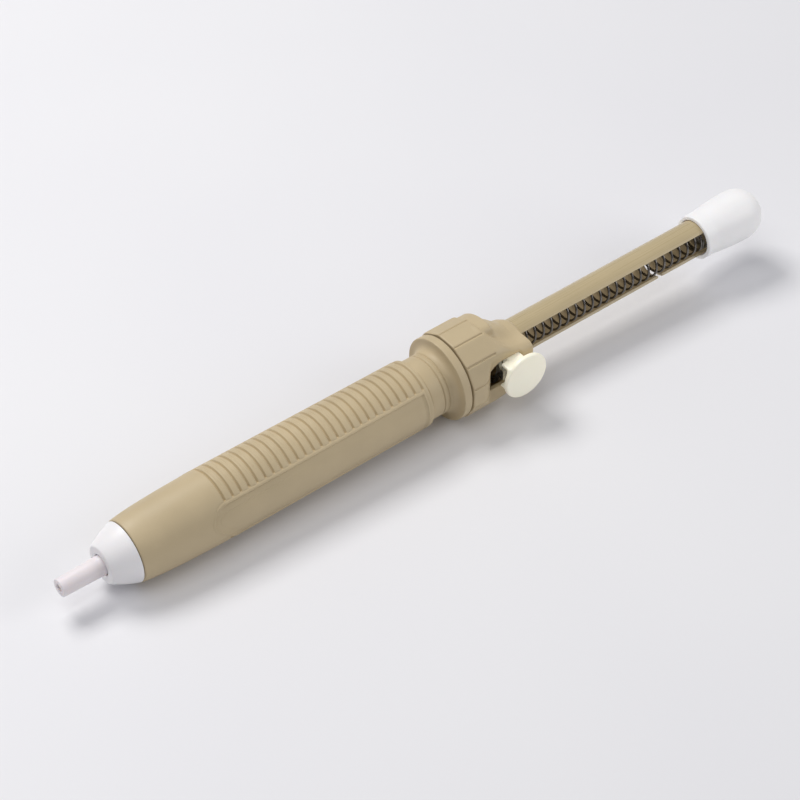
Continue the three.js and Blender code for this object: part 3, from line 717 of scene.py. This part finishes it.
def grip_row(station, heights):
    """A row of the grip: near panel, ribs above, far panel, ribs below."""
    base = float(grip_radius(np.array(station)))
    side = np.arcsin(np.clip(heights / base, -1, 1))
    radius = barrel_radius(np.full(len(heights), station), heights)
    top_angle = np.linspace(side[0], math.pi - side[0], BARREL_COLUMNS["crown"] + 2)[1:-1]
    plain = base - float(rib_drop(np.array(station)))
    line = float(rib_line_drop(np.array(station)))
    from_panel = np.minimum(top_angle - side[0], math.pi - side[0] - top_angle)
    crest = plain - line * smooth_step(from_panel, 0.08, 0.4)
    near = [(angle, r) for angle, r in zip(side, radius)][::-1]
    far = [(math.pi - angle, r) for angle, r in zip(side, radius)]
    top = list(zip(top_angle, crest))
    bottom = list(zip(top_angle + math.pi, crest))
    ring = near + top + far + bottom
    return [(station, -r * math.cos(a), r * math.sin(a)) for a, r in ring]


def rear_profile():
    """(station, radius) points from the grip's rear end round to the bore at the barrel's rear."""
    end, grip, band = GRIP["rear"], GRIP["rear_radius"], BAND["radius"]
    line = [(end - 0.15, grip - 0.03), (end, grip - 0.16), (end + 0.08, grip - 0.4),
            (end + 0.12, band + 0.05), (end + 0.25, band - 0.28), (end + 0.5, band - 0.3),
            (end + 0.8, band - 0.05), (end + 1.0, band)]
    groove = ((-0.42, 0.0), (-0.26, 0.25), (-0.13, 0.85), (0.0, 1.0), (0.13, 0.85), (0.26, 0.25),
              (0.42, 0.0))
    for station in BAND["lines"]:
        line += [(station + off, band - BAND["depth"] * share) for off, share in groove]
        line.append((station + 0.6, band + 0.06))
    front, rear, rim = FLANGE["front"], FLANGE["rear"], FLANGE["radius"]
    fillet = bend((163.9, band + 0.04), (166.2, band + 0.4), (front, FLANGE["fillet"]), 10)
    line += [p[:2] for p in fillet]
    flange = rounded([(front, FLANGE["fillet"] + 0.05, 0.0), (front, rim, FLANGE["edge"]),
                      (rear, rim, FLANGE["edge"]), (rear, 14.6, 0.1)], 4)
    line += [tuple(p) for p in flange[1:-1]] + [(rear, 14.0)]
    for turn in range(THREAD["turns"]):
        start = THREAD["first"] + THREAD["pitch"] * turn
        line += [(start - 0.45, THREAD["root"]), (start, THREAD["crest"]),
                 (start + 0.25, THREAD["crest"]), (start + 0.7, THREAD["root"])]
    last = BARREL["rear"]
    line += [(last - 0.3, THREAD["end"] + 0.3), (last, THREAD["end"]), (last, BORE + 0.3),
             (last - 0.3, BORE)]
    return line


def build_barrel():
    """The grip barrel as one skin: outside rows, rear end, bore and front end."""
    half = PANEL["half"]
    edge = [0.75, 0.5, 0.36, 0.22, 0.1, 0.0, -0.1, -0.22, -0.45, -0.66, -0.76, -0.89, -1.1]
    edge += [-1.8, -2.6, -2.76, -2.9, -3.04, -3.2]
    inner = np.linspace(half - 3.6, 0, BARREL_COLUMNS["panel"])
    heights = np.array([half + e for e in edge] + list(inner))
    heights = np.concatenate([heights, -heights[:-1][::-1]])
    rows = [grip_row(station, heights) for station in barrel_stations()]
    first = [math.atan2(p[2], -p[1]) for p in rows[0]]
    last = [math.atan2(p[2], -p[1]) for p in rows[-1]]
    front, lip = BARREL["front"], BARREL["front_radius"]
    nose_end = [(front + 0.4, lip - 0.03), (front + 0.2, lip - 0.1), (front + 0.06, lip - 0.22),
                (front, lip - 0.4), (front, BORE + 0.15), (front + 0.1, BORE)]
    rows = [turned_row(*p, first) for p in reversed(nose_end)] + rows
    rows += [turned_row(*p, last) for p in rear_profile()]
    return np.array(rows).reshape(-1, 3), grid_faces(len(rows), len(last), True)


add_piece("barrel_grip", *build_barrel(), "housing", beige_plastic, "beige_plastic", "barrel",
          sharp=50.0)


# ---- Rear cap ----

CAP = {"front": 170.4, "facet_end": 184.2, "apothem": 17.2, "rim": 16.75, "rim_front": 176.0,
       "side": 4.5, "crown_cut": 0.14}
BORES = {"thread": 14.5, "thread_end": 180.3, "latch": 12.6, "latch_end": 188.8, "guide": 7.7}
NECK_END = 201.3
NECK_LINE = [(189.2, 16.75), (189.5, 16.1), (190.0, 15.1), (190.9, 14.1), (192.2, 13.2),
             (193.6, 12.4), (194.8, 11.5), (196.0, 10.5), (197.2, 9.7), (198.4, 9.5), (199.6, 9.3),
             (200.6, 8.8), (NECK_END, 8.3)]
BLOCK = {"front": 183.0, "face": 14.6, "back": 2.0, "round": 3.4, "outer": 17.18}
BLOCK_LINE = [(183.0, 18.4), (184.2, 17.2), (186.0, 15.2), (188.0, 13.3), (190.0, 11.8),
              (192.0, 10.7), (194.0, 9.95), (196.0, 9.5), (198.0, 9.3), (NECK_END, 9.3)]
SCOOP_LINE = [(173.0, 18.0), (178.0, 17.2), (181.0, 13.5)]
SCOOP_END = [(194.9, 13.5), (196.2, 14.8), (NECK_END, 14.8)]
GROOVE = {"front": 171.0, "rear": 183.8, "width": 0.34, "depth": 0.55}
WINDOW = {"front": 180.9, "rear": 195.3, "bottom": -4.4, "top": 7.85, "floor": 9.0, "corner": 1.2}
WINDOW_SLANT = {"along": 4.0, "down": 2.6, "blend": 0.8}
EASE = {"neck": 0.35, "block": 1.2, "scoop": 0.6}
TURN = {"reach": 7.0, "saddle": (2.5, 8.0), "least_fillet": 0.4, "fillet": 3.6}
CAP_FIELD = ((169.6, -18.6, -18.6), (204.2, 18.6, 18.6), 0.3)


class SmoothLine:
    """A line through (station, radius) points with its corners eased, read at any station."""

    def __init__(self, points, ease):
        table = np.array([tuple(point)[:2] for point in points], float)
        step = 0.05
        low, high = table[0, 0] - 2 * ease, table[-1, 0] + 2 * ease
        self.station = np.arange(low, high, step)
        reach = int(ease / step)
        kernel = np.hanning(2 * reach + 3)
        raw = np.interp(self.station, table[:, 0], table[:, 1])
        padded = np.pad(raw, reach + 1, mode="edge")
        self.radius = np.convolve(padded, kernel / kernel.sum(), "valid")
        self.steep = 1 / np.hypot(1, np.gradient(self.radius, step))

    def distance(self, station, reach):
        """About how far a point lies outside the line, where reach is its own radius."""
        radius = np.interp(station, self.station, self.radius)
        return (reach - radius) * np.interp(station, self.station, self.steep)


neck_line = SmoothLine([(CAP["rim_front"], CAP["rim"]), *NECK_LINE], EASE["neck"])
block_line = SmoothLine(BLOCK_LINE, EASE["block"])
scoop_line = SmoothLine([*bend(*SCOOP_LINE, 10), *SCOOP_END], EASE["scoop"])


def cap_outside(station, y, z):
    """Distance field of the cap's outside, and how far a point lies from a facet's edge line."""
    around = np.hypot(y, z)
    angle = np.arctan2(z, -y)
    facet = math.pi / 6
    off = np.abs((angle + facet / 2) % facet - facet / 2)
    flat = around * np.cos(off) - CAP["apothem"]
    crown = around - (CAP["apothem"] / math.cos(facet / 2) - CAP["crown_cut"])
    sides = soft_max(flat, crown, 0.15)
    prism = rounded_meet(sides, slab(station, CAP["front"], CAP["facet_end"]), 0.35)
    neck_length = slab(station, CAP["rim_front"], NECK_END)
    neck = rounded_meet(neck_line.distance(station, around), neck_length, 0.5)
    neck = soft_max(neck, -(y + CAP["side"]), 3.0)
    height = block_line.distance(station, np.abs(z))
    block = rounded_meet(height, slab(y, -BLOCK["face"], BLOCK["back"]), BLOCK["round"])
    block = rounded_meet(block, slab(station, BLOCK["front"], NECK_END), 1.0)
    onward = smooth_step(station, CAP["facet_end"], CAP["facet_end"] + TURN["reach"])
    outer = sides + (around - BLOCK["outer"] - sides) * onward
    block = soft_max(block, outer, 0.6)
    saddle = smooth_step(station, *(CAP["facet_end"] + reach for reach in TURN["saddle"]))
    solid = soft_min(neck, block, TURN["least_fillet"] + TURN["fillet"] * saddle)
    beside = 1 - smooth_step(-y, CAP["side"] - 4.0, CAP["side"])
    solid = soft_min(prism, solid, 0.03 + 0.6 * beside)
    solid = soft_max(solid, scoop_line.distance(station, -y), 0.6)
    vertex = np.abs((angle % facet) - facet / 2) * around
    return solid, vertex


def window_field(station, y, z):
    """The button's window, cut back at a slant at its front upper corner."""
    length = slab(station, WINDOW["front"], WINDOW["rear"])
    opening = rounded_meet(length, slab(z, WINDOW["bottom"], WINDOW["top"]), WINDOW["corner"])
    along, down = WINDOW_SLANT["along"], WINDOW_SLANT["down"]
    slant = (z - WINDOW["top"] + down) * along - (station - WINDOW["front"]) * down
    opening = soft_max(opening, slant / math.hypot(along, down), WINDOW_SLANT["blend"])
    return np.maximum(opening, y + WINDOW["floor"])


def cap_field(station, y, z):
    """Distance field of the whole rear cap."""
    around = np.hypot(y, z)
    solid, vertex = cap_outside(station, y, z)
    past_end = np.maximum(np.maximum(GROOVE["front"] - station, station - GROOVE["rear"]), 0)
    from_groove = np.hypot(vertex, past_end)
    solid = solid + GROOVE["depth"] * np.exp(-((from_groove / GROOVE["width"]) ** 2))
    latch_bore = np.maximum(around - BORES["latch"], station - BORES["latch_end"])
    thread_bore = np.maximum(around - BORES["thread"], station - BORES["thread_end"])
    bore = np.minimum(np.minimum(around - BORES["guide"], latch_bore), thread_bore)
    solid = soft_max(solid, -window_field(station, y, z), 0.3)
    return soft_max(solid, -bore, 0.25)


add_field_piece("rear_cap_shell", cap_field, *CAP_FIELD, "housing", beige_plastic,
                "beige_plastic", "rear_cap")


# ---- Plunger ----

TUBE = {"radius": 7.4, "wall": 1.1, "front": 156.0, "rear": 309.0, "edge": 0.14}
SLOT = {"front": 175.9, "half_degrees": 50.0}
NOTCH = {"front": 274.6, "rear": 276.8, "reach": 138.5}


def build_tube():
    """The slotted tube as a shell of cells, with a wall wherever a cell is left out."""
    angles = np.radians(np.concatenate([
        np.linspace(-SLOT["half_degrees"], SLOT["half_degrees"], 13)[:-1],
        np.linspace(SLOT["half_degrees"], 360 - NOTCH["reach"], 45)[:-1],
        np.linspace(360 - NOTCH["reach"], 360 - SLOT["half_degrees"], 31)[:-1],
    ]))
    stations = np.concatenate([
        [TUBE["front"], 166.0, SLOT["front"]],
        np.linspace(186.0, 272.0, 14),
        [NOTCH["front"], NOTCH["rear"], 285.0, 297.0, TUBE["rear"]],
    ])
    columns, rows = len(angles), len(stations)
    middle = (angles + np.roll(angles, -1)) / 2
    middle[-1] = (angles[-1] + angles[0] + 2 * math.pi) / 2
    degrees = np.degrees(middle)
    in_slot = np.abs(degrees) < SLOT["half_degrees"]
    in_notch = (degrees > 360 - NOTCH["reach"]) & (degrees < 360 - SLOT["half_degrees"])
    points = []
    for radius in (TUBE["radius"], TUBE["radius"] - TUBE["wall"]):
        for station in stations:
            for angle in angles:
                points.append((station, -radius * math.cos(angle), radius * math.sin(angle)))
    kept = np.ones((rows - 1, columns), bool)
    for i in range(rows - 1):
        station = (stations[i] + stations[i + 1]) / 2
        if station > SLOT["front"]:
            kept[i] &= ~in_slot
        if NOTCH["front"] < station < NOTCH["rear"]:
            kept[i] &= ~in_notch
    inner = rows * columns
    faces = []
    for i in range(rows - 1):
        for j in range(columns):
            if not kept[i, j]:
                continue
            k = (j + 1) % columns
            a, b = i * columns + j, i * columns + k
            c, d = b + columns, a + columns
            faces.append((a, b, c, d))
            faces.append((inner + a, inner + d, inner + c, inner + b))
            if i == 0 or not kept[i - 1, j]:
                faces.append((a, inner + a, inner + b, b))
            if i == rows - 2 or not kept[i + 1, j]:
                faces.append((d, c, inner + c, inner + d))
            if not kept[i, j - 1]:
                faces.append((a, d, inner + d, inner + a))
            if not kept[i, k]:
                faces.append((b, inner + b, inner + c, c))
    return np.array(points), faces


tube = add_piece("slotted_tube", *build_tube(), "plunger", tube_plastic, "glossy_beige_plastic",
                 "plunger_tube", sharp=30.0, weighted=False)
# The inside faces take the bore's material: painted shade from its darker beige, and a painted
# glow.
tube.data.materials.append(bore_painted_shade_and_glow)
for face in tube.data.polygons:
    outward = Vector((0, face.center.y, face.center.z - AXIS_Z))
    if outward.length < (TUBE["radius"] - TUBE["wall"] + 0.2) * MM and face.normal.dot(outward) < 0:
        face.material_index = 1
edges = tube.modifiers.new("edge_break", "BEVEL")
edges.width = TUBE["edge"] * MM
edges.segments = 2
edges.limit_method = "ANGLE"
edges.angle_limit = math.radians(40)
edges.harden_normals = True

KNOB = {"front": 297.0, "lip": 9.3, "lip_end": 302.0, "swell": 312.0, "widest": 319.0,
        "radius": 10.5, "end": 330.0, "socket": 309.6, "bluntness": 2.4}


def build_knob():
    """The thumb knob: a socket, a straight lip, a swelling side and a blunt dome."""
    dome = []
    for t in np.linspace(0.04, 1, 26):
        along = math.sin(t * math.pi / 2)
        dome.append((KNOB["widest"] + (KNOB["end"] - KNOB["widest"]) * along,
                     KNOB["radius"] * math.sqrt(max(0.0, 1 - along ** KNOB["bluntness"])), 0))
    socket = TUBE["radius"] + GAP
    line = rounded([
        (KNOB["socket"], 0.0, 0.0),
        (KNOB["socket"], socket, 0.2),
        (KNOB["front"], socket, 0.25),
        (KNOB["front"], KNOB["lip"], 0.5),
        *bend((KNOB["lip_end"], KNOB["lip"]), (KNOB["swell"], KNOB["radius"]),
              (KNOB["widest"], KNOB["radius"]), 14),
        *dome,
    ], 5)
    return lathe(line, 144)


add_piece("thumb_knob", *build_knob(), "plunger", knob_plastic, "white_plastic", "knob")

SPRING = {"front": 180.4, "rear": 298.1, "mean": 5.25, "wire": 0.5, "pitch": 4.15,
          "dead_turns": 1.3, "steps_per_turn": 36}
DEAD_PITCH = 2.15


def spring_line(front, rear, mean, wire, pitch, dead_turns, steps_per_turn, across=False):
    """The centre line of a coil whose last turns at each end lie close together."""
    low, high = front + wire, rear - wire
    dead = DEAD_PITCH * wire
    working = (high - low - 2 * dead_turns * dead) / pitch
    turns = working + 2 * dead_turns
    t = np.linspace(0, turns, int(turns * steps_per_turn))
    rate = np.where((t < dead_turns) | (t > turns - dead_turns), dead, pitch)
    kernel = np.ones(steps_per_turn // 2) / (steps_per_turn // 2)
    margin = len(kernel)
    rate = np.convolve(np.pad(rate, margin, mode="edge"), kernel, "same")[margin:-margin]
    travel = np.concatenate([[0], np.cumsum((rate[1:] + rate[:-1]) / 2 * np.diff(t))])
    along = low + travel / travel[-1] * (high - low)
    turn = 2 * math.pi * t
    if across:
        return np.stack([mean * np.cos(turn), along, mean * np.sin(turn)], 1)
    return np.stack([along, -mean * np.cos(turn), mean * np.sin(turn)], 1)


main_spring = add_piece("long_coil_spring", *sweep_wire(spring_line(**SPRING), SPRING["wire"], 10),
                        "housing", spring_steel, "spring_steel", "main_spring", sharp=60.0,
                        weighted=False)
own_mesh(main_spring)

ROD = {"tip": STROKE - 1.5, "end": 148.0, "radius": 0.9, "point": 0.35, "taper": 1.1}
PISTON = {"front": 142.0, "rear": 155.7, "radius": 10.4, "bore": 1.2, "bore_end": 148.3,
          "boss": 6.0, "boss_end": 168.0, "groove": 8.9}
PISTON_SEAL = {"station": 148.8, "centre": 9.9, "section": 0.65}
BUMPER = {"front": 156.2, "rear": 159.7, "inner": 8.1, "outer": 10.4, "edge": 0.5}
CLOSED = 0.02

add_seal("piston_seal", PISTON_SEAL, "plunger", "piston_o_ring")
add_piece("return_bumper", *lathe(ring_profile(**BUMPER), 96), "housing", black_rubber,
          "black_rubber", "rubber_bumper")

rod_line = rounded([
    (ROD["tip"], 0.0, 0),
    (ROD["tip"], ROD["point"], 0.2),
    (ROD["tip"] + ROD["taper"], ROD["radius"], 0.3),
    (ROD["end"], ROD["radius"], 0.2),
    (ROD["end"], 0.0, 0),
])
add_piece("clearing_rod", *lathe(rod_line, 32), "plunger", bright_steel, "bright_steel",
          "cleaning_rod")

piston_line = rounded([
    (PISTON["front"], PISTON["bore"], 0.2),
    (PISTON["front"], PISTON["radius"], 0.4),
    *seal_groove(PISTON_SEAL, PISTON["radius"], PISTON["groove"], 0.15),
    (PISTON["rear"], PISTON["radius"], 0.4),
    (PISTON["rear"], PISTON["boss"], 0.3),
    (PISTON["boss_end"], PISTON["boss"], 0.5),
    (PISTON["boss_end"], CLOSED, 0),
    (PISTON["bore_end"], CLOSED, 0),
    (PISTON["bore_end"], PISTON["bore"], 0.1),
])
add_piece("piston_body", *lathe(piston_line, 96), "plunger", acetal, "white_acetal",
          "piston_head")


# ---- Release button ----

BUTTON = {"station": 193.3, "height": 0.8, "radius": 9.7, "inner": 18.1, "outer": 20.8,
          "crown": 0.75}
STEM = {"front": 185.6, "rear": 195.0, "bottom": -4.1, "top": 7.55, "inner": 11.2,
        "rebate": 14.2, "outer": 19.0, "narrow_outer": 18.5}
POCKET = {"end": 188.3, "wall": 1.1, "outer": 17.6}
COIL = {"front": -14.6, "rear": -9.5, "mean": 1.7, "wire": 0.22, "pitch": 0.95,
        "dead_turns": 0.8, "steps_per_turn": 28}
COIL_STATION = 192.4
COIL_HOLE = {"radius": 2.3, "end": 15.2}
LATCH_REAR = 188.5
LATCH_PIN = {"y": -12.9, "radius": 0.9}
BUTTON_FIELD = ((182.6, -21.8, -10.0), (204.1, -10.4, 11.6), 0.25)


def button_field(station, y, z):
    """Distance field of the button: a crowned round head on a rectangular stem."""
    out = -y
    around = np.hypot(station - BUTTON["station"], z - BUTTON["height"])
    crown_front = BUTTON["outer"] - BUTTON["crown"] * (around / BUTTON["radius"]) ** 2
    thickness = np.maximum(out - crown_front, BUTTON["inner"] - out)
    disc = rounded_meet(around - BUTTON["radius"], thickness, 0.6)
    stem_height = slab(z, STEM["bottom"], STEM["top"])
    section = rounded_meet(slab(station, STEM["front"], STEM["rear"]), stem_height, 0.5)
    outer_stem = rounded_meet(section, slab(out, STEM["rebate"], STEM["outer"]), 0.25)
    narrow = rounded_meet(slab(station, LATCH_REAR + GAP, STEM["rear"]), stem_height, 0.5)
    inner_stem = rounded_meet(narrow, slab(out, STEM["inner"], STEM["narrow_outer"]), 0.3)
    solid = soft_min(disc, np.minimum(outer_stem, inner_stem), 1.1)
    from_coil = np.hypot(station - COIL_STATION, z)
    coil_hole = np.maximum(from_coil - COIL_HOLE["radius"], out - COIL_HOLE["end"])
    hollow = slab(z, STEM["bottom"] + POCKET["wall"], STEM["top"] - POCKET["wall"])
    pocket = np.maximum(station - POCKET["end"], hollow)
    pocket = np.maximum(pocket, out - POCKET["outer"])
    from_pin = np.hypot(y - LATCH_PIN["y"], z)
    pin_hole = np.maximum(from_pin - LATCH_PIN["radius"], station - COIL_STATION)
    solid = soft_max(solid, -pocket, 0.3)
    return soft_max(solid, -np.minimum(coil_hole, pin_hole), 0.15)


add_field_piece("release_button", button_field, *BUTTON_FIELD, "release", cream_plastic,
                "cream_plastic", "button")

coil_line = spring_line(**COIL, across=True)
coil_line[:, 0] += COIL_STATION
button_spring = add_piece("button_coil", *sweep_wire(coil_line, COIL["wire"], 8), "housing",
                          bright_steel, "bright_steel", "button_spring", sharp=60.0,
                          weighted=False)
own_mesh(button_spring)


# ---- CAD pieces that stay ----

KEPT_STEEL = ("rod_nut", "piston_pin", "plug_pin", "spring_washer", "latch_plate", "latch_pin")
KEPT_ACETAL = ("spring_seat", "tube_end_plug", "guide_bush")
for node_name in KEPT_STEEL + KEPT_ACETAL:
    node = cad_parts[node_name]
    node.data.materials.clear()
    node.data.materials.append(bright_steel if node_name in KEPT_STEEL else acetal)


# ---- Studio ----

REST = {"cap_x": -0.0068, "slope": 0.0294, "under": 0.00005}
FLOOR_HALF = 6.0
LIGHTS = [
    ("key_softbox", (-0.15, 0.75, 1.1), (0.7, 0.5), 10.6, (1.0, 0.985, 0.97)),
    ("top_softbox", (-0.5, -0.1, 1.4), (1.0, 1.0), 5.0, (1.0, 0.99, 0.99)),
    ("side_softbox", (0.9, -0.8, 0.6), (0.7, 0.7), 4.6, (1.0, 0.99, 0.98)),
]
SKY = {"colour": (0.93, 0.94, 1.0, 1), "strength": 0.28}
CAMERA = {"lens": 108.0, "sensor": 36.0, "clip_end": 30.0, "azimuth": -38.1, "elevation": 44.8,
          "distance": 0.889, "aim_station": 148.8}


def build_floor():
    """A broad floor that touches the cap's flat and the grip's front underside."""
    half = FLOOR_HALF
    mesh = bpy.data.meshes.new("studio_floor")
    outline = ((-half, -half), (half, -half), (half, half), (-half, half))
    corners = [(x, y, -(x - REST["cap_x"]) * REST["slope"] - REST["under"]) for x, y in outline]
    mesh.from_pydata(corners, [], [(0, 1, 2, 3)])
    mesh.materials.append(floor_material())
    obj = bpy.data.objects.new("studio_floor", mesh)
    bpy.context.scene.collection.objects.link(obj)


def add_light(name, place, size, power, colour):
    """A rectangular softbox that points at the object's origin."""
    light = bpy.data.lights.new(name, "AREA")
    light.shape = "RECTANGLE"
    light.size, light.size_y = size
    light.energy = power
    light.color = colour
    obj = bpy.data.objects.new(name, light)
    obj.location = place
    obj.rotation_euler = (-Vector(place)).to_track_quat("-Z", "Y").to_euler()
    bpy.context.scene.collection.objects.link(obj)


def build_studio():
    """World light, softboxes, and the camera at the photograph's angle."""
    scene = bpy.context.scene
    scene.view_settings.view_transform = "Standard"
    world = bpy.data.worlds.new("studio_world")
    world.use_nodes = True
    background = world.node_tree.nodes["Background"]
    background.inputs["Color"].default_value = SKY["colour"]
    background.inputs["Strength"].default_value = SKY["strength"]
    scene.world = world
    for light in LIGHTS:
        add_light(*light)
    camera = bpy.data.cameras.new("camera")
    camera.lens = CAMERA["lens"]
    camera.sensor_width = CAMERA["sensor"]
    camera.clip_end = CAMERA["clip_end"]
    obj = bpy.data.objects.new("camera", camera)
    azimuth, elevation = math.radians(CAMERA["azimuth"]), math.radians(CAMERA["elevation"])
    target = Vector((TIP_X + CAMERA["aim_station"] * MM, 0, AXIS_Z))
    level = math.cos(elevation)
    away = Vector((math.sin(azimuth) * level, -math.cos(azimuth) * level, math.sin(elevation)))
    obj.location = target + away * CAMERA["distance"]
    obj.rotation_euler = (-away).to_track_quat("-Z", "Y").to_euler()
    scene.collection.objects.link(obj)
    scene.camera = obj


build_floor()
build_studio()
